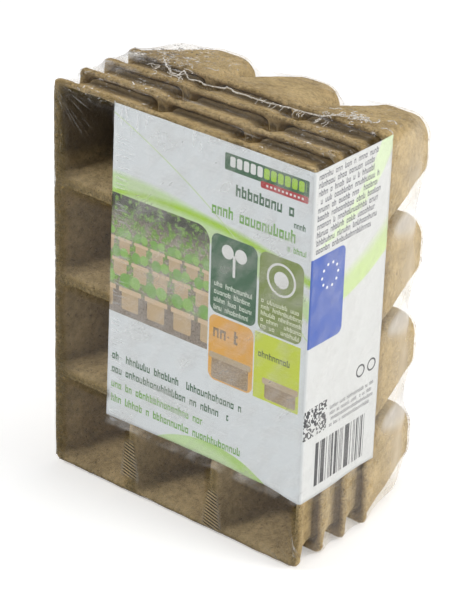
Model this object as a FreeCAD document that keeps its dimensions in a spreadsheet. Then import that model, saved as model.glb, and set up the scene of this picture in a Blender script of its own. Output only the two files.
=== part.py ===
import FreeCAD, Part
import math
import os
import Sketcher

# A shrink-wrapped pack of square peat pots, stood on the rims of its trays.
# X runs across the pots, Y runs back from the open mouths to the closed bases, Z is up.
# The origin lies under the middle of the whole pack, on the surface that it stands on.

# The driving sizes in millimetres: alias, value and what it measures.
DRIVING_SIZES = (
    ("trays_nested", 4, "trays pushed into one another"),
    ("pots_across", 3, "pots side by side in one tray"),
    ("pots_up", 4, "pots above one another in one tray"),
    ("pot_pitch", 40, "from one pot to the next, and the mouth over its two half crests"),
    ("pot_base", 24, "outside width of a pot's closed end"),
    ("pot_depth", 40, "from the rim to the outside of the base"),
    ("pot_wall", 2.4, "thickness of the moulded fibre wall"),
    ("pot_corner", 5, "outer radius of a pot's slanting corners"),
    ("hollow_corner", 2.2, "width of the slope along a pot's inner corners"),
    ("nest_gap", 0.26, "room between the walls of two nested trays"),
    ("rim_height", 2.6, "depth of the plate that joins the pots at their mouths"),
    ("rim_corner", 1.4, "width of the slope across each corner of a tray's rim"),
    ("rim_bevel", 0.9, "worn edge round the outside of the rim"),
    ("lip_bevel", 1.3, "slope round each mouth, which leaves a narrow crest"),
    ("label_thick", 0.3, "thickness of the printed sheet"),
    ("label_gap", 0.25, "room between the sheet and the rims behind it"),
    ("label_front", 93, "width of the sheet on the front, measured to its fold"),
    ("label_past", 3.4, "how far the sheet reaches back past the last rim"),
    ("label_tall", 130, "height of the sheet"),
    ("label_low", 28, "height of the sheet's lower edge above the lowest rim"),
    ("label_fold", 1.2, "inner radius of the fold round the corner of the trays"),
    ("film_thick", 0.4, "thickness of the film, drawn heavier than the real film"),
    ("film_gap", 0.25, "room between the film and what it wraps"),
    ("film_edge", 1, "rounding of the film over the front rim"),
    ("film_lead", 1.2, "how far the film follows a rim before it lifts off"),
    ("film_sag", 1.6, "how far the film is drawn in between two rims"),
    ("film_leave", 22, "how far behind the last rim the film between two pots lifts off"),
    ("shoulder_in", 11, "how far in from the rims the film bends over between two pots"),
    ("shoulder_back", 33, "how far behind the last rim it bends over"),
    ("field_in", 21, "how far in from the rims the film has reached its level field"),
    ("field_dip", 0.6, "how far the level field stays short of the bases"),
)

# Relations that several pieces share, written in the sheet's aliases.
SLOPE = "((sizes.pot_pitch - sizes.pot_base) / 2 / sizes.pot_depth)"
SLANT = f"sqrt(1 + {SLOPE} ^ 2)"
NEST_PITCH = f"((sizes.pot_wall + sizes.nest_gap) * {SLANT} / {SLOPE})"
LAST_RIM = f"((sizes.trays_nested - 1) * {NEST_PITCH})"
TRAYS_DEPTH = f"({LAST_RIM} + sizes.pot_depth)"
LABEL_STACK = "(sizes.label_gap + sizes.label_thick)"
RIM_X = f"(-{LABEL_STACK} / 2)"
RIM_Y = f"({LABEL_STACK} / 2 - {TRAYS_DEPTH} / 2)"
RIM_Z = "(sizes.film_gap + sizes.film_thick)"

# Two points or directions closer than this, in millimetres, are the same one.
SAME = 0.0001


def make_sheet(doc):
    """Write the driving sizes into a sheet, one row each, with their aliases."""
    sheet = doc.addObject("Spreadsheet::Sheet", "sizes")
    for row, (alias, value, note) in enumerate(DRIVING_SIZES, start=1):
        sheet.set(f"A{row}", alias)
        sheet.set(f"B{row}", str(value))
        sheet.set(f"C{row}", note)
        sheet.setAlias(f"B{row}", alias)
    doc.recompute()
    return sheet


def new_body(doc, name, x, y, z):
    """Start a body whose place in the pack follows the sheet."""
    body = doc.addObject("PartDesign::Body", name)
    body.Label = name
    for axis, place in (("x", x), ("y", y), ("z", z)):
        body.setExpression(f"Placement.Base.{axis}", place)
    return body


def origin_feature(body, role):
    """Find one of the body's own base planes or axes."""
    return next(f for f in body.Origin.OriginFeatures if f.Role == role)


def new_sketch(body, name, plane):
    """Add a sketch on one of the body's base planes."""
    sketch = body.newObject("Sketcher::SketchObject", name)
    sketch.AttachmentSupport = [(origin_feature(body, plane), "")]
    sketch.MapMode = "FlatFace"
    return sketch


def bind(sketch, constraint, name, value):
    """Add a named constraint and tie it to the sheet."""
    index = sketch.addConstraint(constraint)
    sketch.renameConstraint(index, name)
    sketch.setExpression(f"Constraints.{name}", value)


def pot_width(depth, inside="0"):
    """Half the width of a pot at a depth behind its rim, or of its hollow inside the wall."""
    return f"(sizes.pot_pitch / 2 - {SLOPE} * ({depth}) - ({inside}) * {SLANT})"


def add_frustum(body, name, kind, start, end, inside="0"):
    """Add or take away a square frustum that follows the pot's walls between two depths."""
    wedge = body.newObject(f"PartDesign::{kind}Wedge", name)
    near, far = pot_width(start, inside), pot_width(end, inside)
    for prop, value in (("Ymin", start), ("Ymax", end),
                        ("Xmin", f"-{near}"), ("Xmax", near), ("Zmin", f"-{near}"), ("Zmax", near),
                        ("X2min", f"-{far}"), ("X2max", far), ("Z2min", f"-{far}"), ("Z2max", far)):
        wedge.setExpression(prop, value)
    return wedge


def edges_where(feature, wanted):
    """Name the edges of a feature that a test picks out."""
    feature.Document.recompute()
    return [f"Edge{number}" for number, edge in enumerate(feature.Shape.Edges, start=1)
            if wanted(edge)]


def dress_edges(body, name, kind, prop, value, wanted):
    """Round or bevel the edges of the newest feature that a test picks out."""
    base = body.Tip
    names = edges_where(base, wanted)
    dressed = body.newObject(f"PartDesign::{kind}", name)
    dressed.Base = (base, names)
    dressed.setExpression(prop, value)
    return dressed


def runs_down_a_corner(edge):
    """A slanting corner of a frustum: its ends lie on the pot's diagonals, far apart in depth."""
    start, end = (vertex.Point for vertex in edge.Vertexes)
    on_diagonal = all(abs(abs(p.x) - abs(p.z)) < SAME for p in (start, end))
    return on_diagonal and SAME < abs(end.x - start.x) < abs(end.y - start.y)


def lies_at(edge, depth):
    """The whole edge lies at one depth."""
    box = edge.BoundBox
    return abs(box.YMin - depth) < SAME and abs(box.YMax - depth) < SAME


def within(edge, half):
    """The whole edge lies inside a square of this half width."""
    box = edge.BoundBox
    return max(box.XMax, -box.XMin, box.ZMax, -box.ZMin) < half - SAME


def repeat_whole(body, name, axis, count):
    """Repeat everything made so far along one axis, one pot apart."""
    body.Document.recompute()
    pattern = body.newObject("PartDesign::LinearPattern", name)
    pattern.TransformMode = "Whole shape"
    pattern.Direction = (origin_feature(body, axis), [""])
    pattern.Mode = "Spacing"
    pattern.setExpression("Offset", "sizes.pot_pitch")
    pattern.setExpression("Occurrences", count)
    body.Tip = pattern
    return pattern


def make_mouth_plate(body):
    """The square of rim plate that belongs to one pot."""
    sketch = new_sketch(body, "mouth_square", "XZ_Plane")
    reach = 1.0
    corners = ((-reach, -reach), (reach, -reach), (reach, reach), (-reach, reach))
    for turn, start in enumerate(corners):
        end = corners[(turn + 1) % len(corners)]
        sketch.addGeometry(Part.LineSegment(FreeCAD.Vector(*start, 0), FreeCAD.Vector(*end, 0)))
    bottom, right, top, left = range(len(corners))
    for line, following in ((bottom, right), (right, top), (top, left), (left, bottom)):
        sketch.addConstraint(Sketcher.Constraint("Coincident", line, 2, following, 1))
    for direction, line in (("Horizontal", bottom), ("Vertical", right),
                            ("Horizontal", top), ("Vertical", left)):
        sketch.addConstraint(Sketcher.Constraint(direction, line))
    sketch.addConstraint(Sketcher.Constraint("Symmetric", bottom, 1, top, 1, -1, 1))
    bind(sketch, Sketcher.Constraint("DistanceX", bottom, 1, bottom, 2, 2 * reach), "across",
         "sizes.pot_pitch")
    bind(sketch, Sketcher.Constraint("DistanceY", right, 1, right, 2, 2 * reach), "up",
         "sizes.pot_pitch")
    pad = body.newObject("PartDesign::Pad", "mouth_plate")
    pad.Profile = sketch
    pad.Reversed = True
    pad.setExpression("Length", "sizes.rim_height")


def make_tray(doc, sheet, index):
    """One moulded tray: a pot with its piece of rim, repeated over the grid, then the rim's edge."""
    tray = new_body(doc, f"pot_tray_{index + 1}",
                    f"{RIM_X} - (sizes.pots_across - 1) * sizes.pot_pitch / 2",
                    f"{RIM_Y} + {index} * {NEST_PITCH}",
                    f"{RIM_Z} + sizes.pot_pitch / 2")
    make_mouth_plate(tray)
    add_frustum(tray, "pot_outside", "Additive", "sizes.rim_height / 2", "sizes.pot_depth")
    dress_edges(tray, "pot_corners", "Fillet", "Radius", "sizes.pot_corner", runs_down_a_corner)
    add_frustum(tray, "pot_hollow", "Subtractive", "0", "sizes.pot_depth - sizes.pot_wall",
                "sizes.pot_wall")
    dress_edges(tray, "hollow_corners", "Chamfer", "Size", "sizes.hollow_corner",
                runs_down_a_corner)
    dress_edges(tray, "lip", "Chamfer", "Size", "sizes.lip_bevel",
                lambda edge: lies_at(edge, 0) and within(edge, sheet.pot_pitch / 2))
    repeat_whole(tray, "row_of_pots", "X_Axis", "sizes.pots_across")
    repeat_whole(tray, "grid_of_pots", "Z_Axis", "sizes.pots_up")
    half_pot = sheet.pot_pitch / 2
    sides_x = (-half_pot, (sheet.pots_across - 1 / 2) * sheet.pot_pitch)
    sides_z = (-half_pot, (sheet.pots_up - 1 / 2) * sheet.pot_pitch)

    def is_tray_corner(edge):
        box = edge.BoundBox
        return (min(abs(box.XMin - side) + abs(box.XMax - side) for side in sides_x) < SAME
                and min(abs(box.ZMin - side) + abs(box.ZMax - side) for side in sides_z) < SAME)

    dress_edges(tray, "rim_corners", "Chamfer", "Size", "sizes.rim_corner", is_tray_corner)
    doc.recompute()
    front = next(face for face in tray.Tip.Shape.Faces
                 if face.BoundBox.YMax < SAME and len(face.Wires) > 1)
    outline = front.OuterWire.Edges
    dress_edges(tray, "rim_edge", "Chamfer", "Size", "sizes.rim_bevel",
                lambda edge: any(edge.isSame(other) for other in outline))
    return tray


def make_label(doc):
    """The printed sheet: one strip folded once, round the front edge of the trays."""
    label = new_body(doc, "label_sheet", f"{RIM_X} + sizes.pots_across * sizes.pot_pitch / 2",
                     RIM_Y, f"{RIM_Z} + sizes.label_low")
    sketch = new_sketch(label, "folded_strip", "XY_Plane")
    fold, thick, front, side = 2.0, 1.0, 20.0, 10.0
    point = FreeCAD.Vector
    outer = fold + thick
    centre = point(-fold, fold, 0)
    down, level = -math.pi / 2, 0.0

    def line(x1, y1, x2, y2):
        sketch.addGeometry(Part.LineSegment(point(x1, y1, 0), point(x2, y2, 0)))

    def fold_arc(radius):
        circle = Part.Circle(centre, point(0, 0, 1), radius)
        sketch.addGeometry(Part.ArcOfCircle(circle, down, level))

    line(-front, -thick, -fold, -thick)
    fold_arc(outer)
    line(thick, fold, thick, side)
    line(thick, side, 0, side)
    line(0, side, 0, fold)
    fold_arc(fold)
    line(-fold, 0, -front, 0)
    line(-front, 0, -front, -thick)
    front_out, arc_out, side_out, side_end, side_in, arc_in, front_in, front_end = range(8)
    joints = (("Tangent", front_out, 2, arc_out, 1), ("Tangent", arc_out, 2, side_out, 1),
              ("Coincident", side_out, 2, side_end, 1), ("Coincident", side_end, 2, side_in, 1),
              ("Tangent", side_in, 2, arc_in, 2), ("Tangent", arc_in, 1, front_in, 1),
              ("Coincident", front_in, 2, front_end, 1),
              ("Coincident", front_end, 2, front_out, 1),
              ("Coincident", arc_out, 3, arc_in, 3))
    for joint in joints:
        sketch.addConstraint(Sketcher.Constraint(*joint))
    for direction, edge in (("Horizontal", front_out), ("Vertical", side_out),
                            ("Horizontal", side_end), ("Vertical", front_end),
                            ("Vertical", side_in), ("Horizontal", front_in)):
        sketch.addConstraint(Sketcher.Constraint(direction, edge))
    bind(sketch, Sketcher.Constraint("Radius", arc_in, fold), "fold", "sizes.label_fold")
    bind(sketch, Sketcher.Constraint("Radius", arc_out, outer), "outside",
         "sizes.label_fold + sizes.label_thick")
    bind(sketch, Sketcher.Constraint("DistanceX", -1, 1, side_in, 1, thick), "clear_side",
         "sizes.label_gap")
    bind(sketch, Sketcher.Constraint("DistanceY", front_in, 1, -1, 1, thick), "clear_front",
         "sizes.label_gap")
    bind(sketch, Sketcher.Constraint("DistanceX", front_end, 1, side_in, 1, front), "front",
         "sizes.label_front")
    bind(sketch, Sketcher.Constraint("DistanceY", front_in, 1, side_in, 1, side), "side",
         f"sizes.label_gap + {LAST_RIM} + sizes.label_past")
    pad = label.newObject("PartDesign::Pad", "sheet_height")
    pad.Profile = sketch
    pad.setExpression("Length", "sizes.label_tall")
    return label


def folded_ring(centre, depth, half_x, half_z, fold):
    """Points round a rectangle across Y, with one straight fold across each corner."""
    points = []
    for side_x, side_z, along_first in ((1, 1, False), (-1, 1, True), (-1, -1, False), (1, -1, True)):
        on_side = FreeCAD.Vector(centre[0] + side_x * half_x, depth,
                                 centre[1] + side_z * (half_z - fold))
        on_end = FreeCAD.Vector(centre[0] + side_x * (half_x - fold), depth,
                                centre[1] + side_z * half_z)
        points += [on_end, on_side] if along_first else [on_side, on_end]
    return points


def folded_skin(rings):
    """A closed solid whose flat faces join one ring of points to the next."""
    faces = [Part.Face(Part.makePolygon(ring + ring[:1])) for ring in (rings[0], rings[-1])]
    for near, far in zip(rings, rings[1:]):
        for place in range(len(near)):
            following = (place + 1) % len(near)
            corners = [near[place], near[following], far[following], far[place], near[place]]
            faces.append(Part.Face(Part.makePolygon(corners)))
    shell = Part.makeShell(faces)
    shell.sewShape()
    solid = Part.makeSolid(shell)
    if solid.Volume < 0:
        solid.reverse()
    return solid


def film_form(sheet, slope, nest_pitch, skin):
    """The space inside the film, or that with its skin: a wrapped block with a cap per pot.

    Behind the last rim the film follows the slope of the pots, bends over and spans them level.
    """
    cover = sheet.film_gap + skin
    across_wall = cover * math.sqrt(1 + slope ** 2)
    # A straight fold that just touches a round corner meets its sides at this share of the radius.
    touching_share = 2 - math.sqrt(2)
    label_stack = sheet.label_gap + sheet.label_thick
    half_x = (sheet.pots_across * sheet.pot_pitch + label_stack) / 2 + cover
    half_z = sheet.pots_up * sheet.pot_pitch / 2 + cover
    middle_z = half_z - cover
    fold = sheet.rim_corner + cover * touching_share
    front = -label_stack - cover

    def ring(depth, drawn):
        return folded_ring((0, middle_z), depth, half_x - drawn, half_z - drawn, fold)

    def sagging_ring(depth, drawn):
        # The sheet's edge holds the film out on top and on its side, so the others are drawn in.
        return folded_ring((drawn / 2, middle_z + drawn / 2), depth,
                           half_x - drawn / 2, half_z - drawn / 2, fold)

    rings = [ring(front, sheet.film_edge), ring(front + sheet.film_edge, 0)]
    last_tray = int(sheet.trays_nested) - 1
    for index in range(last_tray + 1):
        leave = index * nest_pitch + sheet.rim_height + sheet.film_lead
        rings.append(ring(leave, 0))
        if index < last_tray:
            arrive = (index + 1) * nest_pitch - sheet.film_lead
            rings.append(sagging_ring((leave + arrive) / 2, sheet.film_sag))
            rings.append(ring(arrive, 0))
    rim = last_tray * nest_pitch
    field_back = sheet.pot_depth - sheet.field_dip
    for behind, drawn in ((sheet.film_leave, slope * sheet.film_leave),
                          (sheet.shoulder_back, sheet.shoulder_in), (field_back, sheet.field_in)):
        rings.append(ring(rim + behind + cover, drawn))
    block = folded_skin(rings)

    def pot_ring(x, z, depth, reach):
        half = sheet.pot_pitch / 2 - slope * (depth + reach) + across_wall
        corner = (sheet.pot_corner + across_wall) * touching_share
        return folded_ring((x, z), rim + depth + reach, half, half, corner)

    caps = []
    for across in range(int(sheet.pots_across)):
        for up in range(int(sheet.pots_up)):
            x = (across - (sheet.pots_across - 1) / 2) * sheet.pot_pitch - label_stack / 2
            z = (up + 1 / 2) * sheet.pot_pitch
            caps.append(folded_skin([
                pot_ring(x, z, sheet.film_leave - sheet.rim_height, 0),
                pot_ring(x, z, sheet.pot_depth, cover)]))
    return block.multiFuse(caps)


def make_film(doc, sheet):
    """The shrink film: a closed skin round the rims, with a tight cap over each pot base."""
    slope = (sheet.pot_pitch - sheet.pot_base) / 2 / sheet.pot_depth
    nest_pitch = (sheet.pot_wall + sheet.nest_gap) * math.sqrt(1 + slope ** 2) / slope
    outside = film_form(sheet, slope, nest_pitch, sheet.film_thick)
    inside = film_form(sheet, slope, nest_pitch, 0)
    film = doc.addObject("Part::Feature", "shrink_film")
    film.Label = "shrink_film"
    film.Shape = outside.cut(inside)
    for axis, place in (("x", "0"), ("y", RIM_Y), ("z", RIM_Z)):
        film.setExpression(f"Placement.Base.{axis}", place)
    return film


def check_document(doc, pieces):
    """Stop before anything is written if a feature failed or a piece isn't a sound solid."""
    faults = [f"{obj.Name} failed" for obj in doc.Objects
              if "Invalid" in obj.State or "Error" in obj.State]
    for piece in pieces:
        shape = piece.Shape
        if shape.isNull() or not shape.isValid() or len(shape.Solids) != 1:
            faults.append(f"{piece.Label} is not one sound solid")
            continue
        box = shape.BoundBox
        print(f"{piece.Label}: volume {shape.Volume:.0f} mm3, x {box.XMin:.2f} to {box.XMax:.2f}, "
              f"y {box.YMin:.2f} to {box.YMax:.2f}, z {box.ZMin:.2f} to {box.ZMax:.2f}")
    if faults:
        raise RuntimeError("; ".join(faults))


doc = FreeCAD.newDocument("peat_pot_pack")
sheet = make_sheet(doc)
pieces = [make_tray(doc, sheet, index) for index in range(int(sheet.trays_nested))]
pieces.append(make_label(doc))
pieces.append(make_film(doc, sheet))
doc.recompute()
check_document(doc, pieces)
os.makedirs("parts", exist_ok=True)
for piece in pieces:
    piece.Shape.exportStep(f"parts/{piece.Label}.step")
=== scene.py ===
import math
from functools import reduce

import bpy
import numpy as np
from mathutils import Matrix, Vector


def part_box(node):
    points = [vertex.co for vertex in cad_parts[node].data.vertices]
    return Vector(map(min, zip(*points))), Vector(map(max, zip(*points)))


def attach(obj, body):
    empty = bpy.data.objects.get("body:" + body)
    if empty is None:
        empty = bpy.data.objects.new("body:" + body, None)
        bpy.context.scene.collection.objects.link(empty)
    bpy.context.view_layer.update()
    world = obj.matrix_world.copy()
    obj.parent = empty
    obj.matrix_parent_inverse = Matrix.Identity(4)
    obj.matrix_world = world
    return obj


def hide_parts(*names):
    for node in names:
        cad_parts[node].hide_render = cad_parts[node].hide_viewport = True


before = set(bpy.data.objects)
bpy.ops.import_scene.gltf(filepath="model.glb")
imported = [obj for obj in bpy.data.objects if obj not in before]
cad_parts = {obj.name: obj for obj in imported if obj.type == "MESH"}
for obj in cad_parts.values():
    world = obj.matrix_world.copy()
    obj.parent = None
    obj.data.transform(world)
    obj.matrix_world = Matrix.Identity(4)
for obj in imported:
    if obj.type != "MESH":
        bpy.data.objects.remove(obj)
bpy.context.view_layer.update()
millimetre = 0.001

# The camera.
# It stands to the right of the pack and above it, a little tilted, with a long lens. The numbers
# come from the corners of the rims and the bases of the pots as they lie in the photo.
turn, rise, tilt = (math.radians(a) for a in (37.87, 27.61, 2.05))
aim_point = Vector((0.0027, 0, 0.0681))
camera_distance = 0.9146
photo_height = 600
focal_pixels = 2428.4
centre_right, centre_down = 20.8, 20.6
sensor = 36

back = Vector((math.sin(turn) * math.cos(rise), -math.cos(turn) * math.cos(rise), math.sin(rise)))
level_right = Vector((math.cos(turn), math.sin(turn), 0))
level_up = back.cross(level_right)
camera_right = math.cos(tilt) * level_right + math.sin(tilt) * level_up
camera_up = math.cos(tilt) * level_up - math.sin(tilt) * level_right
camera = bpy.data.objects.new("camera", bpy.data.cameras.new("camera"))
camera.matrix_world = (Matrix.Translation(aim_point + back * camera_distance)
                       @ Matrix((camera_right, camera_up, back)).transposed().to_4x4())
camera.data.sensor_width = sensor
camera.data.lens = focal_pixels / photo_height * sensor
camera.data.shift_x = -centre_right / photo_height
camera.data.shift_y = centre_down / photo_height
bpy.context.collection.objects.link(camera)
bpy.context.scene.camera = camera


# The pot trays.
# Four mouldings of pressed peat and wood fibre, each with 3 by 4 tapered pots that share their
# crests. The fibre slurry is sucked onto a wire mould, so rims come out uneven and walls wavy.
pots_across, pots_up = 3, 4
tray_names = [f"pot_tray_{place}" for place in (1, 2, 3, 4)]
tray_low, tray_high = np.array(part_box(tray_names[0])) / millimetre
second_low = np.array(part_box(tray_names[1])[0]) / millimetre
pot_pitch = (tray_high[0] - tray_low[0]) / pots_across
pot_depth = tray_high[1] - tray_low[1]
nest_pitch = second_low[1] - tray_low[1]
tray_middle_x = (tray_low[0] + tray_high[0]) / 2
tray_middle_z = (tray_low[2] + tray_high[2]) / 2
half_across, half_up = halves = np.array([pots_across, pots_up]) * pot_pitch / 2
mouth_half = pot_pitch / 2
base_half = 12
taper = (mouth_half - base_half) / pot_depth
wall = 2.45
rim_depth = 2.6
drawn_in = 1.3
floor_depth = pot_depth - 2.4
outer_corner, inner_corner, base_rounding = 5, 3, 3
# How far the random swings are moved from tray to tray, so that no two trays are alike.
tray_shift = 71.0


def smooth_step(values, start, end):
    """0 before start, 1 after end, and an even rise between them."""
    share = np.clip((values - start) / (end - start), 0, 1)
    return share * share * (3 - 2 * share)


def raised(values, start, full, fall, end):
    """1 between full and fall, and 0 before start and after end."""
    return smooth_step(values, start, full) * (1 - smooth_step(values, fall, end))


def from_edge(flat):
    """How far out flat points lie from the tray's edge; below 0 is inside."""
    return (np.abs(flat) - halves).max(1)


def swell(points, size, seed):
    """Even random swings between -1 and 1 that are about as wide as size."""
    table = np.random.default_rng(seed).uniform(-1, 1, (32, 32, 32))
    lattice = points / size + 50
    cell = np.floor(lattice).astype(int)
    part = lattice - cell
    part = part * part * (3 - 2 * part)
    swings = np.zeros(len(points))
    for corner in np.ndindex(2, 2, 2):
        near = np.where(corner, part, 1 - part).prod(1)
        swings += near * table[tuple(((cell + corner) % 32).T)]
    return swings


def rounded_square(half, radius, sharp=0.0):
    """Points round a square with round corners; sharp=1 fills the corners out."""
    along = np.linspace(-1, 1, 20, endpoint=False)
    bent_share = 0.3
    bend = np.clip((np.abs(along) - 1 + bent_share) / bent_share, 0, 1) * math.pi / 4
    straight = np.clip(np.abs(along) / (1 - bent_share), 0, 1) * (half - radius)
    out = straight + radius * ((1 - sharp) * np.sin(bend) + sharp * np.tan(bend))
    reach = half - radius * (1 - sharp) * (1 - np.cos(bend))
    sides = [np.stack([np.sign(along) * out, -reach], 1)]
    for _ in range(3):
        sides.append(np.stack([-sides[-1][:, 1], sides[-1][:, 0]], 1))
    return np.concatenate(sides)


# Rings of a hollow and of a pot's outside: depth behind the rim, half width, corner, sharpness.
hollow_rings = [(0, mouth_half, outer_corner, 1), (0.1, 18.9, 4.6, 0.8), (0.45, 18.2, 4.2, 0.5),
                (1.1, 17.7, 3.8, 0.25), (2.1, 17.3, 3.4, 0.1)]
hollow_rings += [(d, mouth_half - wall - taper * d, inner_corner, 0)
                 for d in np.linspace(3.6, floor_depth - 1.6, 17)]
hollow_rings += [(floor_depth - 0.6, 9.5, 3, 0), (floor_depth, 8.5, 2.8, 0),
                 (floor_depth, 6, 2.4, 0), (floor_depth, 3, 1.4, 0)]
outside_rings = [(rim_depth, mouth_half, outer_corner, 1), (rim_depth + 0.5, 19.3, 4.8, 0.5)]
outside_rings += [(d, mouth_half - taper * d, outer_corner + base_rounding * max(0, d - 16) / 24, 0)
                  for d in np.linspace(4.2, pot_depth - 2.6, 18)]
outside_rings += [(pot_depth - 1.5, base_half - 0.1, 8, 0), (pot_depth - 0.7, 11.3, 7.6, 0),
                  (pot_depth - 0.2, 10.3, 7, 0), (pot_depth, 9, 6, 0), (pot_depth, 6, 4, 0),
                  (pot_depth, 3, 2, 0)]
# Steps round the outer edge of the rim plate: how far in, and how deep.
edge_steps = [(0.7, 0), (0.25, 0.2), (0, 0.7), (0, 1.9), (0.25, 2.4), (0.7, rim_depth)]


def ring_faces(ring_count, count, closed=True):
    """Faces between closed rings, or open rows, that all have the same number of points."""
    return [(ring * count + place, ring * count + (place + 1) % count,
             (ring + 1) * count + (place + 1) % count, (ring + 1) * count + place)
            for ring in range(ring_count - 1) for place in range(count if closed else count - 1)]


def pot_surface(rings, centre):
    """Points of one pot's hollow or outside, ring by ring, and the faces between them."""
    points = [np.insert(rounded_square(half, radius, sharp) + centre, 1, depth, axis=1)
              for depth, half, radius, sharp in rings]
    count = len(points[0])
    last = (len(rings) - 1) * count
    points = np.concatenate(points + [np.array([[centre[0], rings[-1][0], centre[1]]])])
    closing = [(last + place, last + (place + 1) % count, len(points) - 1) for place in range(count)]
    return points, ring_faces(len(rings), count) + closing


def tray_form():
    """One tray with straight walls: points in mm from its rim's middle, faces, and which are outside."""
    all_points, all_faces, outside = [], [], []

    def add(points, faces, is_outside):
        start = sum(len(part) for part in all_points)
        all_points.append(points)
        all_faces.extend(tuple(start + place for place in face) for face in faces)
        outside.append(np.full(len(points), is_outside))

    def held_in(points, inset):
        """Flat points, not further out than the tray's edge less the inset."""
        return np.clip(points, inset - halves, halves - inset)

    centres = [np.array([across + 0.5, up + 0.5]) * pot_pitch - halves
               for across in range(pots_across) for up in range(pots_up)]
    for centre in centres:
        for rings, is_outside in ((hollow_rings, False), (outside_rings, True)):
            points, faces = pot_surface(rings, centre)
            points[:, [0, 2]] = held_in(points[:, [0, 2]], edge_steps[0][0])
            add(points, [face[::-1] for face in faces] if is_outside else faces, is_outside)
    rows = np.concatenate([rounded_square(mouth_half, outer_corner, 1) + centre for centre in centres])
    rows = np.unique(np.round(rows, 3), axis=0)
    rows = rows[(np.abs(np.abs(rows) - halves) < 0.01).any(1)]
    rows = rows[np.argsort(np.arctan2(rows[:, 1], rows[:, 0]))]
    loops = [np.insert(held_in(rows, inset), 1, depth, axis=1) for inset, depth in edge_steps]
    add(np.concatenate(loops), [face[::-1] for face in ring_faces(len(loops), len(rows))], True)
    points = np.concatenate(all_points)
    _, first, place_of = np.unique(np.round(points, 2), axis=0, return_index=True,
                                   return_inverse=True)
    place_of = place_of.ravel()
    joined = [list(dict.fromkeys(int(place_of[place]) for place in face)) for face in all_faces]
    return points[first], [face for face in joined if len(face) > 2], np.concatenate(outside)[first]


def aged(points, outside, index):
    """The same tray as it comes from the mould: wavy rims, uneven walls, worn corners."""
    last = index == len(tray_names) - 1
    flat, depth = points[:, [0, 2]], points[:, 1]
    seen = points + (0, index * tray_shift, 0)
    # Worn corners of the rim.
    corner = 2.2
    past = np.abs(flat) - (halves - corner)
    scale = past.max(1, keepdims=True) / np.maximum(np.linalg.norm(past, axis=1, keepdims=True), 1e-6)
    worn = np.sign(flat) * (halves - corner + past * scale)
    flat = np.where((past > 0).all(1, keepdims=True), worn, flat)
    # Wavy rims: nothing stands out further than the straight form.
    near_rim = 1 - smooth_step(depth, 2.5, 9)
    wave = 0.4 + 0.45 * swell(seen, 13, 1) + 0.3 * swell(seen, 4.5, 2) + 0.22 * swell(seen, 1.6, 3)
    depth = depth + near_rim * np.clip(wave, 0, 2)
    near_edge = smooth_step(from_edge(flat), -5, -0.4) * (1 - smooth_step(depth, 3.5, 8))
    wear = 0.35 + 0.4 * swell(seen, 10, 4) + 0.3 * swell(seen, 3.5, 5) + 0.42 * swell(seen, 1.5, 6)
    wear = near_edge * np.clip(wear, 0, 2) * np.where((flat < 6 - halves).any(1), 0.4, 1)
    flat = flat - np.sign(flat) * wear[:, None] * smooth_step(np.abs(flat) - halves, -6, -0.5)
    # Behind each rim the wall draws in, down to where it enters the next tray.
    if not last:
        drawn = drawn_in * outside * raised(depth, 3, 7, nest_pitch + 0.3, nest_pitch + 2.5)
        flat = flat - np.sign(flat) * drawn[:, None] * (np.abs(flat) > halves - 6)
    # Walls that nothing is nested against are uneven.
    free_outside = smooth_step(from_edge(flat), -5, -1) * raised(depth, 2, 4, nest_pitch - 2, nest_pitch)
    if last:
        free_outside = smooth_step(depth, 2, 8)
    free = np.where(outside, free_outside, smooth_step(depth, 0, 3) * (index == 0))
    push_x, push_in, push_z = (free * (0.3 * swell(seen, 9, seed) + 0.13 * swell(seen, 3, seed + 1))
                               for seed in (7, 9, 11))
    depth = depth - np.abs(push_in) * smooth_step(depth, 30, 38)
    return np.column_stack([flat[:, 0] + push_x, depth, flat[:, 1] + push_z])


def mesh_piece(name, points, faces, marks=()):
    """A smooth mesh object from points in mm in the frame, with the marks that its material reads."""
    mesh = bpy.data.meshes.new(name)
    mesh.from_pydata((points * millimetre).tolist(), [], faces)
    mesh.update()
    mesh.polygons.foreach_set("use_smooth", [True] * len(mesh.polygons))
    for mark, values in dict(marks).items():
        layer = mesh.attributes.new(mark, "FLOAT", "POINT")
        layer.data.foreach_set("value", values.astype(np.float32))
    piece = bpy.data.objects.new(name, mesh)
    bpy.context.collection.objects.link(piece)
    return piece


def add_node(tree, kind, inputs=(), **settings):
    """A node with its settings, and its inputs set to values or linked to other outputs."""
    node = tree.nodes.new(kind)
    for name, value in settings.items():
        setattr(node, name, value)
    for place, value in dict(inputs).items():
        if isinstance(value, bpy.types.NodeSocket):
            tree.links.new(value, node.inputs[place])
        else:
            node.inputs[place].default_value = value
    return node


def fed_node(kind, inputs, **settings):
    """A node in the same tree as the outputs that feed it."""
    inputs = dict(inputs)
    tree = next(value.id_data for value in inputs.values() if isinstance(value, bpy.types.NodeSocket))
    return add_node(tree, kind, inputs, **settings)


def maths(operation, *values):
    """The output of a math node."""
    return fed_node("ShaderNodeMath", enumerate(values), operation=operation).outputs[0]


def chained(operation):
    """A function that joins any number of values by one operation."""
    return lambda *values: reduce(lambda first, second: maths(operation, first, second), values)


product, total, larger = chained("MULTIPLY"), chained("ADD"), chained("MAXIMUM")


def less(value, taken):
    return maths("SUBTRACT", value, taken)


def over(value, limit):
    """1 where the value is greater, else 0."""
    return maths("GREATER_THAN", value, limit)


def under(value, limit):
    return maths("LESS_THAN", value, limit)


def opposite(mask):
    return less(1.0, mask)


def mixed(share, first, second):
    """A mix of two colours; a plain one is given as red, green and blue."""
    first, second = ((*colour, 1) if isinstance(colour, tuple) else colour for colour in (first, second))
    return fed_node("ShaderNodeMix", {0: share, 6: first, 7: second}, data_type="RGBA").outputs[2]


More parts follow.
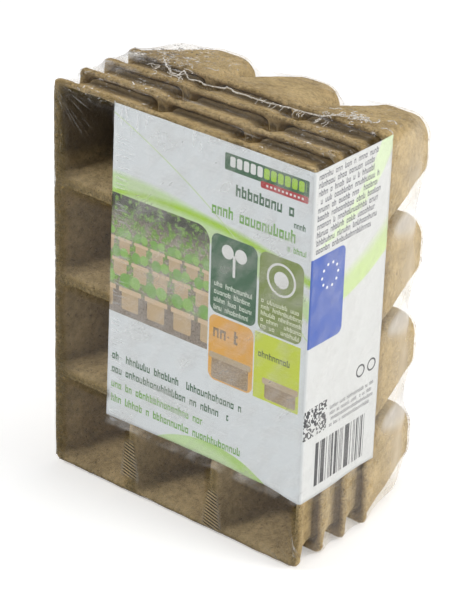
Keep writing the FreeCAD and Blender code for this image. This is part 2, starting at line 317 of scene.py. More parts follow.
def noise(position, scale, detail=3, roughness=0.6, distortion=0.0):
    """The even grey output of a noise texture; scale counts features per unit of position."""
    return fed_node("ShaderNodeTexNoise", {
        "Vector": position, "Scale": scale, "Detail": detail, "Roughness": roughness,
        "Distortion": distortion}).outputs[0]


def step_up(value, start, end, low=0.0, high=1.0):
    """low below start and high above end."""
    return fed_node("ShaderNodeMapRange", {0: value, 1: start, 2: end, 3: low, 4: high},
                    clamp=True).outputs[0]


def band(value, low_end, low_full, high_full, high_end):
    """1 between low_full and high_full, fading to 0 at the ends."""
    return product(step_up(value, low_end, low_full), step_up(value, high_end, high_full))


def vector(operation, *values, output=0):
    """An output of a vector math node: 0 is the vector, 1 the number."""
    return fed_node("ShaderNodeVectorMath", enumerate(values), operation=operation).outputs[output]


def scaled(place, factor):
    return fed_node("ShaderNodeVectorMath", {0: place, "Scale": factor}, operation="SCALE").outputs[0]


def stretched(place, scale, rotation=(0, 0, 0)):
    """The place turned, then stretched."""
    return fed_node("ShaderNodeMapping", {"Vector": place, "Rotation": rotation, "Scale": scale}).outputs[0]


def apart(place):
    """The three numbers of a place."""
    return fed_node("ShaderNodeSeparateXYZ", {0: place}).outputs


def together(first, second, third=0.0):
    return fed_node("ShaderNodeCombineXYZ", {0: first, 1: second, 2: third}).outputs[0]


def chance_at(place):
    """A random number for each place, or for each single number."""
    single = place.type == "VALUE"
    return fed_node("ShaderNodeTexWhiteNoise", {"W" if single else "Vector": place},
                    noise_dimensions="1D" if single else "3D").outputs[0]


def new_material(name):
    """An empty node material with its tree and its shader."""
    material = bpy.data.materials.new(name)
    material.use_nodes = True
    tree = material.node_tree
    shader = next(node for node in tree.nodes if node.type == "BSDF_PRINCIPLED")
    return material, tree, shader


def object_place(tree):
    """The place on the object, in metres."""
    return add_node(tree, "ShaderNodeTexCoord").outputs["Object"]


def mark_value(tree, name):
    """A value that the mesh stores at its points."""
    return add_node(tree, "ShaderNodeAttribute", attribute_name=name).outputs["Fac"]


def feed(shader, **outputs):
    """Link outputs to the shader's inputs of those names."""
    for name, output in outputs.items():
        shader.id_data.links.new(output, shader.inputs[name.replace("_", " ")])


def relief(height, strength, distance):
    """The normal of a surface with bumps."""
    return fed_node("ShaderNodeBump", {
        "Strength": strength, "Distance": distance, "Height": height}).outputs[0]


peat, tree, shader = new_material("pressed peat")
position = object_place(tree)
along_fibres = stretched(position, (1, 1, 2.6))
cloud = noise(position, 90, 5)
mottle = noise(position, 420, 4, 0.7)
fibres = noise(along_fibres, 1500, 3, 0.75, 0.6)
specks = noise(position, 900, 3, distortion=0.8)
straws = noise(along_fibres, 620, 2, distortion=1.4)
tone = total(product(cloud, 0.45), product(mottle, 0.55))
colour = mixed(step_up(tone, 0.36, 0.62), (0.27, 0.195, 0.09), (0.64, 0.48, 0.25))
for mask, strength, paint in (
        (step_up(fibres, 0.45, 0.68), 0.55, (0.64, 0.49, 0.25)),
        (step_up(fibres, 0.44, 0.30), 0.5, (0.17, 0.12, 0.055)),
        (step_up(specks, 0.60, 0.70), 0.75, (0.09, 0.06, 0.03)),
        (step_up(straws, 0.68, 0.76), 0.55, (0.78, 0.66, 0.42)),
        (product(mark_value(tree, "at_lip"), step_up(specks, 0.50, 0.60)), 0.5, (0.14, 0.10, 0.04)),
        # painted shade: near-black where the grooves between rims and the top-left front pot lie in shadow
        (mark_value(tree, "painted_shade"), 0.86, (0.075, 0.055, 0.035))):
    colour = mixed(product(mask, strength), colour, paint)
grain = total(product(mottle, 0.6), product(fibres, 0.4))
feed(shader, Base_Color=colour, Normal=relief(grain, 0.9, 0.0009),
     Roughness=step_up(mottle, 0, 1, 0.82, 0.98))
shader.inputs["Specular IOR Level"].default_value = 0.25

form_points, form_faces, form_outside = tray_form()
for index, name in enumerate(tray_names):
    points = aged(form_points, form_outside, index)
    x, depth, z = form_points.T
    out = from_edge(form_points[:, [0, 2]])
    wander = 1.6 * swell(form_points + (0, index * tray_shift, 0), 8, 31) + 0.9 * swell(form_points, 3, 32)
    on_top = smooth_step(points[:, 2], half_up - 9, half_up - 5)
    on_side = smooth_step(np.abs(points[:, 0]), half_across - 9, half_across - 5)
    # Painted shade in the grooves between rims: the foot of each wall where it enters the next tray, and the
    # face of the next rim plate, darker on top than on the sides.
    foot = form_outside * smooth_step(depth + wander, nest_pitch - 5.5, nest_pitch - 2.5)
    foot = foot * (1 - smooth_step(depth, nest_pitch + 1, nest_pitch + 3)) * (index < len(tray_names) - 1)
    face = smooth_step(wander + out, -2.2, -3.4) * (depth < 0.3) * (index > 0)
    painted_shade = np.maximum(foot, face) * np.maximum(on_top, 0.45 * on_side)
    # Painted shade: the hollow of the pot at the top left of the front tray is darkened as if it lay in deep
    # shadow.
    painted_pot_shade = (index == 0) * (1 - form_outside) * smooth_step(z + wander, half_up - 35, half_up - 28)
    painted_pot_shade = painted_pot_shade * smooth_step(depth, 0.3, 2.5) * (1 - smooth_step(
        x + wander, -half_across + 39, -half_across + 42))
    at_lip = (1 - smooth_step(depth, 2.6, 4.2)) * smooth_step(out, -2.4, -0.6)
    points = points + (tray_middle_x, tray_low[1] + index * nest_pitch, tray_middle_z)
    tray = mesh_piece(f"peat_tray_{index + 1}", points, form_faces,
                      {"painted_shade": np.maximum(painted_shade, 0.92 * painted_pot_shade), "at_lip": at_lip})
    tray.data.materials.append(peat)
    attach(tray, "root")
    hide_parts(name)


# The printed sheet.
# One sheet of white paper with a generic print, laid over the front rims and folded once round
# the right front edge, held only by the film.
sheet_low, sheet_high = np.array(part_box("label_sheet")) / millimetre
fold_radius = 1.35
front_y, side_x = sheet_low[1] + 0.15, sheet_high[0] - 0.15
front_width = sheet_high[0] - 0.15 - sheet_low[0]
side_width = sheet_high[1] - front_y
fold_length = fold_radius * math.pi / 2
sheet_width = front_width + side_width - 2 * fold_radius + fold_length
sheet_tall = sheet_high[2] - sheet_low[2]
front_flat = front_width - fold_radius
front_edge = front_flat + fold_length / 2
edge_lean = 3.2
sheet_rise = 1.2


def sheet_place(across, up):
    """The place in the frame of points on the sheet, across from its left edge and up."""
    on_front = across < front_flat
    on_fold = (across >= front_flat) & (across < front_flat + fold_length)
    angle = np.clip((across - front_flat) / fold_radius, 0, math.pi / 2)
    front_share = np.clip(across / front_flat, 0, 1)
    x_front = sheet_low[0] + front_share * (side_x - fold_radius - sheet_low[0])
    x_front = x_front + edge_lean * up / sheet_tall * (1 - front_share) ** 4
    x = np.where(on_front, x_front, side_x - fold_radius + fold_radius * np.sin(angle))
    past = np.maximum(across - front_flat - fold_length, 0)
    y = front_y + fold_radius - fold_radius * np.cos(angle) + past
    grid = np.column_stack([across, up, np.zeros(len(across))])
    ripple = np.abs(0.10 * swell(grid / (2.4, 1, 1), 9, 21) + 0.05 * swell(grid / (1, 2, 1), 4, 22))
    x = x - np.where(on_front | on_fold, 0, ripple)
    y = y + np.where(on_front, ripple, 0)
    edge = 0.8 * swell(grid / (3, 1, 1), 6, 23)
    z = sheet_low[2] + 0.6 + up * (sheet_tall + sheet_rise - 0.6) / sheet_tall
    z = z + edge * (1 - smooth_step(up, 0, 6))
    z = z - 0.5 * np.abs(edge) * smooth_step(up, sheet_tall - 5, sheet_tall)
    lift = 2.2 * (1 - smooth_step(across, front_flat - 16, front_flat)) * (1 - smooth_step(up, 0, 40))
    return np.column_stack([x, y, z + lift])


columns = np.concatenate([np.linspace(0, front_flat, 60), front_flat + np.linspace(0, fold_length, 7)[1:],
                          np.linspace(front_flat + fold_length, sheet_width, 30)[1:]])
rows = np.linspace(0, sheet_tall, 80)
across, up = (grid.ravel() for grid in np.meshgrid(columns, rows))
label = mesh_piece("printed_label", sheet_place(across, up), ring_faces(len(rows), len(columns), False))
flat = label.data.uv_layers.new(name="flat_sheet")
corner_points = np.array([corner.vertex_index for corner in label.data.loops])
flat_points = np.column_stack([across, up])
flat.data.foreach_set("uv", (flat_points[corner_points] * millimetre).ravel())
thickness = label.modifiers.new("paper", "SOLIDIFY")
thickness.thickness = 0.12 * millimetre
thickness.offset = -1

print_colours = {
    "paper": (0.80, 0.845, 0.87), "side paper with painted shade": (0.67, 0.68, 0.67), "dark green": (0.012, 0.10, 0.035),
    "green": (0.16, 0.40, 0.06), "band green": (0.60, 0.80, 0.42), "bright green": (0.40, 0.68, 0.02),
    "olive": (0.20, 0.27, 0.05), "orange": (0.82, 0.42, 0.05), "lime": (0.62, 0.72, 0.03),
    "red": (0.45, 0.015, 0.02), "blue": (0.062, 0.122, 0.44), "ink": (0.03, 0.03, 0.035),
    "white": (0.86, 0.87, 0.86)}


def mask_group(name, inputs):
    """A node group with these inputs and a mask as its output, and its input sockets."""
    group = bpy.data.node_groups.new(name, "ShaderNodeTree")
    for title in inputs:
        kind = "Vector" if title in ("Place", "Centre", "Half") else "Float"
        group.interface.new_socket(title, in_out="INPUT", socket_type="NodeSocket" + kind)
    group.interface.new_socket("Mask", in_out="OUTPUT", socket_type="NodeSocketFloat")
    return group, add_node(group, "NodeGroupInput").outputs


# A node group that marks a panel with round corners on the sheet, in millimetres.
panel, enter = mask_group("round panel", ("Place", "Centre", "Half", "Corner"))
away = vector("ABSOLUTE", vector("SUBTRACT", enter["Place"], enter["Centre"]))
away = vector("ADD", vector("SUBTRACT", away, enter["Half"]), together(enter["Corner"], enter["Corner"]))
beyond = vector("LENGTH", vector("MAXIMUM", away, (0, 0, 0)), output=1)
x, y, _ = apart(away)
inside = maths("MINIMUM", larger(x, y), 0)
add_node(panel, "NodeGroupOutput", {0: step_up(less(total(beyond, inside), enter["Corner"]), 0.08, -0.08)})

# A node group that fills a block with lines of short blocks, so that it reads as small type.
type_sizes = ("Left", "Low", "Right", "High", "Pitch", "Tall", "Dash")
dashes, enter = mask_group("lines of dashes", ("Place", *type_sizes))
x, y, _ = apart(enter["Place"])
line = maths("DIVIDE", less(y, enter["Low"]), enter["Pitch"])
share = maths("DIVIDE", product(maths("FRACT", line), enter["Pitch"]), enter["Tall"])
line = maths("FLOOR", line)
count = maths("DIVIDE", less(x, enter["Left"]), enter["Dash"])
chance = chance_at(together(maths("FLOOR", count), line, total(enter["Left"], enter["Low"])))
second = maths("FRACT", product(chance, 7.3))
part = maths("FRACT", count)
stem = product(under(share, 1.0), under(part, 0.4), over(chance, 0.68))
hole = product(step_up(maths("ABSOLUTE", less(part, 0.5)), 0.2, 0.12),
               over(share, product(over(second, 0.4), 0.2)), under(share, total(0.52, over(second, 0.75))))
body = product(under(share, 0.72), opposite(hole))
limit = product(less(enter["Right"], enter["Left"]), chance_at(total(line, 7.3)), 0.15)
mask = product(over(chance, 0.13), band(part, 0.03, 0.15, 0.85, 0.97), larger(body, stem),
               over(x, enter["Left"]), under(x, less(enter["Right"], limit)), over(y, enter["Low"]),
               under(y, enter["High"]))
add_node(dashes, "NodeGroupOutput", {0: mask})

ink = {}


def stain(colour, *masks):
    """Print one colour over what is printed so far, where all masks are 1."""
    ink["printed"] = mixed(product(*masks), ink["printed"], print_colours.get(colour, colour))
    feed(ink["shader"], Base_Color=ink["printed"])


def panel_mask(left, low, right, high, corner=0.01, place=None):
    """1 inside a panel with round corners, in mm across and up the sheet."""
    return fed_node("ShaderNodeGroup", {
        "Place": place or ink["place"], "Centre": ((left + right) / 2, (low + high) / 2, 0),
        "Half": ((right - left) / 2, (high - low) / 2, 0), "Corner": corner}, node_tree=panel).outputs[0]


def type_mask(*sizes):
    """1 on small type: the ends of the lines, their pitch, and how tall and wide the letters are."""
    return fed_node("ShaderNodeGroup", {"Place": ink["place"], **dict(zip(type_sizes, sizes))},
                    node_tree=dashes).outputs[0]


def disc_mask(x, y, radius, soft=0.2, place=None):
    """1 inside a disc."""
    away = vector("DISTANCE", place or ink["place"], (x, y, 0), output=1)
    return step_up(away, radius + soft / 2, radius - soft / 2)


def ring_mask(outer, inner):
    """1 inside the outer disc and outside the inner one."""
    return product(disc_mask(*outer), opposite(disc_mask(*inner)))


def repeated(step_x, start_x):
    """Places that start again every step across the sheet."""
    return together(maths("FLOORED_MODULO", less(ink["across"], start_x), step_x), ink["up"])


def print_area(name, left, low, right, high):
    """Start the print of one area of the sheet, with the paper and the broad pale bands."""
    material, tree, shader = new_material(name)
    place = scaled(add_node(tree, "ShaderNodeUVMap", uv_map="flat_sheet").outputs[0], 1 / millimetre)
    x, y, _ = apart(place)
    ink.update(shader=shader, place=place, across=x, up=y)
    # Painted shade: the sheet's side past the fold gets a darker, greyer copy of the paper colour.
    ink["printed"] = mixed(step_up(ink["across"], front_edge - 1, front_edge + 1),
                           print_colours["paper"], print_colours["side paper with painted shade"])
    bands = [((6, -84, 187.4, 2.5), (6, -100, 194, 2), "band green"),
             ((34, -90, 189.5, 2), (30, -100, 197, 2), "bright green"),
             ((-81, -100, 240.6), (-81, -100, 240.2), (0.60, 0.76, 0.40))]
    if left >= front_edge:
        bands = [((front_edge + 1, 150, 50, 1), (front_edge - 19, 160, 64, 1), (0.66, 0.77, 0.52)),
                 ((front_edge + 1, 150, 77, 1), (front_edge + 1, 150, 68, 5), (0.57, 0.71, 0.33))]
    for outer, inner, colour in bands:
        stain(colour, ring_mask(outer, inner))
    if left < front_edge and low < 30:
        stain("band green", disc_mask(51, -43, 50, 0.4))
        stain((0.46, 0.70, 0.20), ring_mask((51, -43, 50), (42, -44, 50, 3)))
    shader.inputs["Roughness"].default_value = 0.45
    feed(shader, Normal=relief(noise(place, 0.25), 0.25, 0.0005))
    label.data.materials.append(material)
    number = len(label.data.materials) - 1
    for polygon in label.data.polygons:
        column, row = flat_points[list(polygon.vertices)].mean(0)
        if left <= column < right and low <= row < high:
            polygon.material_index = number


# The front's plain parts, with four lines of small type below.
print_area("plain front print", -1, -1, front_edge, 140)
for low, right, colour in ((26.5, 75, "dark green"), (20.3, 68, "dark green"), (13.4, 54, "green"),
                           (6.8, 75, "green")):
    stain(colour, type_mask(2, low, right, low + 4, 5.5, 3.5, 1.75))

# A picture of seedlings in pots on a soil bed.
print_area("picture print", -1, 42, 48.2, 104)
picture = larger(panel_mask(-20, 47, 48.2, 95.3, 6), panel_mask(-20, 47, 48.2, 80))
grow = noise(ink["place"], 0.35, 5, 0.7)
fine = noise(ink["place"], 1.3, 4, 0.7)
bench = product(picture, step_up(ink["up"], 60, 56))
stain((0.20, 0.17, 0.12), picture)
stain((0.46, 0.42, 0.34), picture, step_up(fine, 0.46, 0.60))
stain((0.16, 0.32, 0.04), picture, step_up(grow, 0.47, 0.53))
stain((0.42, 0.62, 0.16), picture, step_up(fine, 0.54, 0.62), step_up(grow, 0.45, 0.5))
stain((0.025, 0.03, 0.015), picture, step_up(ink["up"], 84, 92), step_up(grow, 0.60, 0.50))
stain((0.30, 0.25, 0.20), bench)
stain((0.13, 0.09, 0.06), bench, step_up(fine, 0.50, 0.60))
for start, low, size in ((3, 76, 3.6), (0, 67, 4.4), (4, 55, 5.6)):
    place = repeated(size * 2.3, start)
    middle = size * 1.15
    stain((0.58, 0.43, 0.25), picture, panel_mask(
        middle - size * 0.75, low - size, middle + size * 0.75, low + size * 0.4, 0.8, place))
    stain((0.72, 0.55, 0.36), picture, panel_mask(
        middle - size, low + size * 0.25, middle + size, low + size * 0.6, 0.4, place))
    stain((0.20, 0.42, 0.07), picture, disc_mask(
        middle - size * 0.45, low + size * 1.15, size * 0.5, 0.3, place))
    stain((0.28, 0.52, 0.10), picture, disc_mask(
        middle + size * 0.45, low + size * 1.2, size * 0.45, 0.3, place))

# The heading: a plain board with a strip, then lines of blocks that read as type.
print_area("heading print", 48.2, 95, front_edge, 130)
stain("dark green", panel_mask(54, 119.7, 90.8, 126.1, 0.6))
for first, last, colour in ((56, 71, "white"), (71, 89.5, "bright green")):
    stain(colour, panel_mask(0.35, 121.3, 2.7, 125.2, 0.7, repeated(3, 56)),
          panel_mask(first, 118, last, 128))
stain("red", panel_mask(70, 117.6, 90.6, 120.2, 0.7))
stain("white", panel_mask(72, 118.5, 89, 119.3), panel_mask(0.4, 118, 1.3, 120, 0.1, repeated(1.7, 72)))
for left, low, high, pitch, tall, dash, colour in (
        (59, 111, 115.4, 6, 4.6, 2.6, "dark green"), (83.5, 107, 109.4, 4, 2.4, 1.3, "dark green"),
        (48.5, 101.4, 106, 6, 4.6, 2.5, "green"), (82.5, 97.6, 100.2, 4, 2.3, 1.3, "green")):
    stain(colour, type_mask(left, low, 92, high, pitch, tall, dash))

# Coloured panels with plain signs: a sprout and a sun.
print_area("upper panels print", 48.2, 63, front_edge, 95)
stain("dark green", panel_mask(49, 63.3, 69.9, 94.4, 3.2))
stain("olive", panel_mask(70.9, 63.3, 90.3, 94.4, 3.2))
stain("white", panel_mask(58.9, 79.5, 60.1, 88, 0.5))
for leaf_x in (56.5, 62.5):
    stain("white", disc_mask(leaf_x, 88.6, 2.7))
stain("white", ring_mask((80.6, 85.6, 6.4), (80.6, 85.6, 5.5)))
stain("white", disc_mask(80.6, 85.6, 3.2))
stain((0.62, 0.70, 0.60), type_mask(50.6, 64.6, 69, 77, 3.1, 2, 1.3))
stain((0.72, 0.76, 0.55), type_mask(72, 64.6, 92, 77, 2.5, 1.8, 1.3))

# More panels, each with a brown tray of pots and a line of type.
print_area("lower panels print", 48.2, 34, front_edge, 63)
stain("orange", panel_mask(48.9, 36, 69.4, 62.4, 3.2))
stain("lime", panel_mask(69.9, 36, 90.3, 62.8, 0.4))
fibre = noise(ink["place"], 1.3, 4, 0.7)
brown = mixed(step_up(fibre, 0.4, 0.6), (0.26, 0.18, 0.10), (0.46, 0.34, 0.2))
for left, low, right, high in ((50.5, 36.6, 67.5, 46), (75, 37, 89, 44)):
    stain(brown, panel_mask(left, low, right, high, 1))
    stain((0.52, 0.40, 0.25), panel_mask(left - 1.2, high - 1.2, right + 1, high + 1.2, 0.7))
stain((0.20, 0.12, 0.03), type_mask(50.6, 53.5, 64, 59, 7, 5.2, 3.2))
stain((0.10, 0.14, 0.02), type_mask(71.5, 53, 88, 55.6, 4, 2.6, 1.6))

# The side: lines of type and a blue panel with a ring of ten dots, and two rings below.
start = front_edge + 3
print_area("upper side print", front_edge, 38.6, 200, 140)
stain((0.13, 0.13, 0.15), type_mask(start - 1, 98.6, start + 36, 128.8, 3.08, 2.3, 1.3))
stain("blue", panel_mask(start - 5, 62.5, start + 16.4, 97, 2.6))
dot_count, dot_reach = 10, 4.6
for step in range(dot_count):
    angle = 2 * math.pi * step / dot_count
    stain("white", disc_mask(start + 8 + dot_reach * math.cos(angle), 88 + dot_reach * math.sin(angle), 0.55))
for x in (start + 29.7, start + 36.4):
    stain("ink", ring_mask((x, 41.4, 2.6), (x, 41.4, 1.9)))

# Under them on the side: small type, a square of random dots and a row of random bars.
print_area("lower side print", front_edge, -1, 200, 38.6)
stain((0.16, 0.16, 0.17), type_mask(start + 12, 25.6, start + 40, 35, 2.4, 1.6, 0.85))
dots = chance_at(vector("FLOOR", scaled(ink["place"], 1.6)))
stain("ink", panel_mask(start - 3, 25.6, start + 10.2, 38.2), over(dots, 0.5))
bars = chance_at(maths("FLOOR", product(ink["across"], 2.6)))
stain("ink", panel_mask(start + 3, 4, start + 34, 22), over(bars, 0.45))

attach(label, "root")
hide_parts("label_sheet")


# The shrink film.
# One closed skin of thin clear film, shrunk with hot air until it lies tight over rims, sheet and
# pot bases. Between them it hangs free, and looks milky; where it sticks to the peat it is clear.
film_low, film_high = np.array(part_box("shrink_film")) / millimetre
film_room, box_margin = 0.5, 0.02
rims = [tray_low[1] + index * nest_pitch for index in range(len(tray_names))]
mesh_width = 1.6
rounds = 400
pull_between, pull_reach = 20, 40


def rounded_gap(first, second, corner):
    """Distance to a form from the distances to two of its faces, which meet in a round corner."""
    return (np.hypot(np.maximum(first + corner, 0), np.maximum(second + corner, 0))
            + np.minimum(np.maximum(first + corner, second + corner), 0) - corner)


def outside_gap(points):
    """Distance in mm from points to the wrapped block of trays and sheet; below 0 is inside."""
    x, y, z = points.T
    # The block of rims: the wall behind each rim draws in up to the next one.
    behind = (y - rims[0]) - np.floor((y - rims[0]) / nest_pitch) * nest_pitch
    behind = np.where(y < rims[0], 0, np.where(y > rims[-1], y - rims[-1], behind))
    drawn = np.where(behind < rim_depth, 0, taper * behind + drawn_in * smooth_step(behind, 3, 7))
    half_x = (sheet_high[0] - tray_low[0]) / 2 - drawn
    around = rounded_gap(np.abs(x - (sheet_high[0] + tray_low[0]) / 2) - half_x,
                         np.abs(z - tray_middle_z) - (half_up - drawn), 3.2)
    block = rounded_gap(around, np.maximum(sheet_low[1] - y, y - (rims[-1] + rim_depth)), 0.8)
    # The pots of the last tray, each a slanting pin with a flat end.
    depth = y - rims[-1]
    half = mouth_half - taper * np.clip(depth, 0, pot_depth)
    across = np.clip(np.round((x - tray_middle_x) / pot_pitch), -(pots_across - 1) / 2, (pots_across - 1) / 2)
    up = np.clip(np.floor((z - tray_middle_z) / pot_pitch) + 0.5, -(pots_up - 1) / 2, (pots_up - 1) / 2)
    around = rounded_gap(np.abs(x - tray_middle_x - across * pot_pitch) - half,
                         np.abs(z - tray_middle_z - up * pot_pitch) - half,
                         outer_corner + base_rounding * np.clip((depth - 16) / 24, 0, 1))
    pots = rounded_gap(around / math.hypot(1, taper), np.maximum(depth - pot_depth, -depth), 2)
    # The sheet on the right side stays flat between the rims.
    card_low = np.array([sheet_high[0] - 10, sheet_low[1], sheet_low[2]])
    sheet_out = np.abs(points - (card_low + sheet_high) / 2) - (sheet_high - card_low) / 2
    card = np.linalg.norm(np.maximum(sheet_out, 0), axis=1) + np.minimum(sheet_out.max(1), 0)
    return np.minimum(np.minimum(block, pots), card)


low = np.array([tray_low[0], sheet_low[1], tray_low[2]]) - film_room
high = np.array([sheet_high[0], tray_high[1] + 3 * nest_pitch, tray_high[2]]) + film_room
steps = np.ceil((high - low) / mesh_width).astype(int)
squares = []
for axis in range(3):
    first, second = [other for other in range(3) if other != axis]
    a, b = (grid.ravel() for grid in np.meshgrid(np.arange(steps[first]), np.arange(steps[second])))
    for end in (0, steps[axis]):
        corners = [np.insert(np.column_stack([a + add_a, b + add_b]), axis, end, axis=1)
                   for add_a, add_b in ((0, 0), (1, 0), (1, 1), (0, 1))]
        if (end == 0) == (axis != 1):
            corners.reverse()
        squares.append(np.stack(corners, 1))
squares = np.concatenate(squares)
lattice, squares = np.unique(squares.reshape(-1, 3), axis=0, return_inverse=True)
squares = squares.reshape(-1, 4)
film_points = low + lattice / steps * (high - low)
edges = np.concatenate([squares[:, [side, (side + 1) % 4]] for side in range(4)])
edges = np.unique(np.sort(edges, 1), axis=0)
ends, others = edges.T.ravel(), edges[:, ::-1].T.ravel()
# The film pulls hardest from the front to the back, and across the outer pots at the back.
halfway = film_points[edges].mean(1)
way = np.abs(film_points[edges[:, 1]] - film_points[edges[:, 0]]).argmax(1)
at_back = halfway[:, 1] > high[1] - 1
pull = np.where(way == 1, np.where(halfway[:, 1] < rims[-1] + 6, 2.5, pull_between), 1.0)
for direction in (0, 2):
    from_side = np.minimum(halfway[:, direction] - low[direction], high[direction] - halfway[:, direction])
    stronger = 1 + (pull_between - 1) * (1 - smooth_step(from_side, pull_reach / 2, pull_reach))
    pull = np.where((way == direction) & at_back, stronger, pull)
both_ways = np.concatenate([pull, pull])
held = np.bincount(ends, weights=both_ways, minlength=len(film_points))
nudge = 0.05
for _ in range(rounds):
    middle = np.stack([np.bincount(ends, weights=film_points[others, axis] * both_ways,
                                   minlength=len(film_points)) for axis in range(3)], 1)
    film_points += 0.9 * (middle / held[:, None] - film_points)
    for _ in range(2):
        gap = outside_gap(film_points) - film_room
        inside = gap < 0
        spots = film_points[inside]
        slope = np.stack([outside_gap(spots + step) - outside_gap(spots - step)
                          for step in np.eye(3) * nudge], 1) / (2 * nudge)
        film_points[inside] -= gap[inside, None] * slope / np.maximum(
            (slope ** 2).sum(1, keepdims=True), 0.3)
film_points = np.clip(film_points, film_low + box_margin, film_high - box_margin)
gap = outside_gap(film_points) - film_room
x, y, z = film_points.T
on_front = 1 - smooth_step(y, rims[0] - 0.35, rims[0] + 0.45)
cells = (film_points[:, [0, 2]] - (tray_middle_x, tray_middle_z) + halves) / pot_pitch
from_crest = np.abs(cells - np.round(cells)).min(1) * pot_pitch
touching = np.exp(-(np.maximum(gap, 0) / 0.9) ** 2)
touching = np.where(on_front > 0.5, 1 - smooth_step(from_crest, 1.2, 3.2), touching)
over_sheet = smooth_step(z, sheet_low[2] - 1, sheet_low[2]) * (y < sheet_high[1] + 0.5) * np.where(
    on_front > 0.5, x > sheet_low[0] + 1 + edge_lean * (z - sheet_low[2]) / sheet_tall, x > sheet_high[0] - 1)
left_rim = on_front * (1 - smooth_step(x - tray_low[0] + 1.3 * swell(film_points, 7, 51), 4.5, 8))
film_marks = {
    "touching": np.maximum(touching, left_rim) * (1 - over_sheet), "on_front": on_front,
    "on_top": smooth_step(z, sheet_high[2] - 4, sheet_high[2]), "over_sheet": over_sheet,
    "hanging_free": smooth_step(gap, 1.2, 4) * smooth_step(y, rims[-1] + 5, rims[-1] + 11),
    "between_rims": smooth_step(gap, 0.5, 2) * (1 - on_front) * (1 - over_sheet)
    * (1 - smooth_step(y, rims[-1], rims[-1] + 5))}

# The weld along the top and the film that is crumpled at its ends: thin beads on the skin.
seam_path = np.array([(-42.8, 1.2), (-37.8, -3.0), (-31.7, -7.2), (-28.1, -7.7), (-29.3, -3.0), (-22.3, -8.1),
                      (-19.1, -7.0), (-14.4, -8.4), (-11.2, -7.3), (-8.0, -6.2), (-8.0, -4.2), (-2.0, -6.1),
                      (4.5, -5.7), (11.3, -5.9), (17.2, -4.9), (23.0, -4.0), (28.5, -3.5), (34, -2.5),
                      (35.6, 0.3), (38.4, 4.2)])
dice = np.random.default_rng(77)
strands = [(seam_path, 0.3)]


def winding(start, heading, step, thick):
    """Add a strand that starts here and turns at each step."""
    strands.append((start + np.cumsum(np.column_stack([np.cos(heading), np.sin(heading)]) * step, 0), thick))


for _ in range(30):
    start = np.array([43, 5]) + dice.normal(0, 1, 2) * (4.2, 3)
    winding(start, dice.uniform(0, 2 * math.pi) + np.cumsum(dice.uniform(-1.6, 1.6, 6)), 1.1, 0.17)
for _ in range(22):
    start = np.array([dice.uniform(-52, -26), dice.uniform(-14, 8)])
    winding(start, dice.uniform(-0.6, 0.9) + np.cumsum(dice.uniform(-1.2, 1.2, 6)), 1.2, 0.13)
for place in np.sort(dice.uniform(6, 40, 17)):
    steps_down = np.linspace(0.5, dice.uniform(3, 7), 6)
    strands.append((np.column_stack([place + 0.25 * steps_down + dice.uniform(-0.3, 0.3, 6),
                                     -4 - steps_down]), 0.09))
skin_top = film_points[film_points[:, 2] > tray_high[2] - 12]
bead_points, bead_faces = [], []
bead_sides = 5
for path, thick in strands:
    lengths = np.concatenate([[0], np.cumsum(np.hypot(*np.diff(path, axis=0).T))])
    along = np.arange(0, lengths[-1], 0.45)
    line = np.column_stack([np.interp(along, lengths, path[:, axis]) for axis in (0, 1)])
    grid = np.column_stack([along, np.full(len(along), path[0, 0]), np.zeros(len(along))])
    line += 0.35 * np.column_stack([swell(grid, 2.2, 41), swell(grid, 1.7, 42)])
    away = ((line[:, None, :] - skin_top[None, :, :2]) ** 2).sum(2)
    height = skin_top[away.argmin(1), 2]
    size = thick * (1 + 0.4 * swell(grid, 1.3, 43))
    height = np.minimum(np.convolve(np.pad(height, 2, mode="edge"), np.ones(5) / 5, "valid") + 0.6 * size,
                        film_high[2] - box_margin - size)
    heading = np.gradient(line, axis=0)
    heading /= np.maximum(np.linalg.norm(heading, axis=1, keepdims=True), 1e-6)
    count = len(line)
    first = len(film_points) + sum(len(part) for part in bead_points)
    rows = [first + side * count for side in range(bead_sides)]
    for side, (row, following) in enumerate(zip(rows, rows[1:] + rows[:1])):
        angle = 2 * math.pi * side / bead_sides
        bead_points.append(np.column_stack([
            line[:, 0] - heading[:, 1] * size * math.cos(angle),
            line[:, 1] + heading[:, 0] * size * math.cos(angle), height + size * math.sin(angle)]))
        bead_faces += [(row + place, row + place + 1, following + place + 1, following + place)
                       for place in range(count - 1)]
    bead_faces += [tuple(rows), tuple(row + count - 1 for row in rows)[::-1]]
bead_points = np.concatenate(bead_points)
film = mesh_piece("clear_shrink_film", np.concatenate([film_points, bead_points]),
                  squares.tolist() + bead_faces,
                  {name: np.pad(values, (0, len(bead_points))) for name, values in film_marks.items()})
for polygon in film.data.polygons[len(squares):]:
    polygon.material_index = 1

clear, tree, shader = new_material("clear shrink film")
position = object_place(tree)
x, y, z = apart(scaled(position, 1 / millimetre))
touch, front, top, sheet, hanging, between = (mark_value(tree, name) for name in film_marks)

# Where it sticks to the peat: golden wet patches in clusters.
cluster = noise(position, 170)
patch = noise(position, 760, 3, 0.7, 0.5)
behind_front = step_up(y, -36, -30)
inside_edges = product(step_up(x, -60.9, -59.6), step_up(z, 0.8, 2))
sticking = product(touch, behind_front, step_up(cluster, 0.50, 0.58), step_up(patch, 0.48, 0.56))
sticking = larger(sticking, product(
    touch, larger(top, product(front, inside_edges)), step_up(patch, 0.30, 0.55)))
